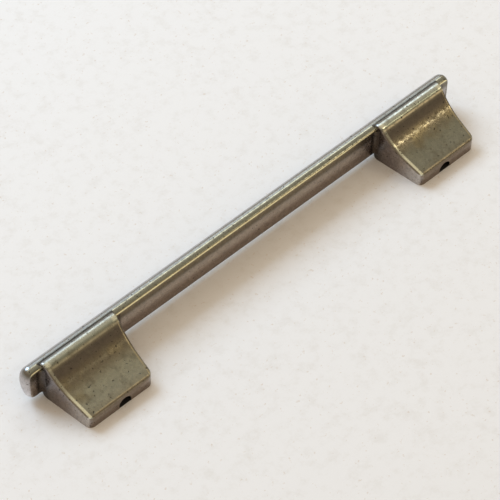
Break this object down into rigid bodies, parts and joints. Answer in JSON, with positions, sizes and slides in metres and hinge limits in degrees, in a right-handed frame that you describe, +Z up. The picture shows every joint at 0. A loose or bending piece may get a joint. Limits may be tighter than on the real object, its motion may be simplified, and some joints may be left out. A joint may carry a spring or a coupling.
{
  "type": "bridge pull handle",
  "caption": "One-piece cast bridge pull: an oval bar with a flat finger face, standing on broad feet that rise from flat plates in a concave sweep to a rolled crest.",
  "frame": {"origin": "midway between the two screw holes, on the plane of the mounting faces and at the height of the holes' axis", "axes": "+X along the bar, -Y out of the mounting faces towards the drawer front, +Z up from the feet's flat undersides, which lie 0.6 mm below the origin"},
  "size_m": [0.1254, 0.0171, 0.0105],
  "materials": {
    "antique_metal": "antique-plated zinc casting, dark olive-brown with worn bright edges, half gloss"
  },
  "bodies": {
    "root": {"handle": "antique_metal"}
  },
  "joints": []
}
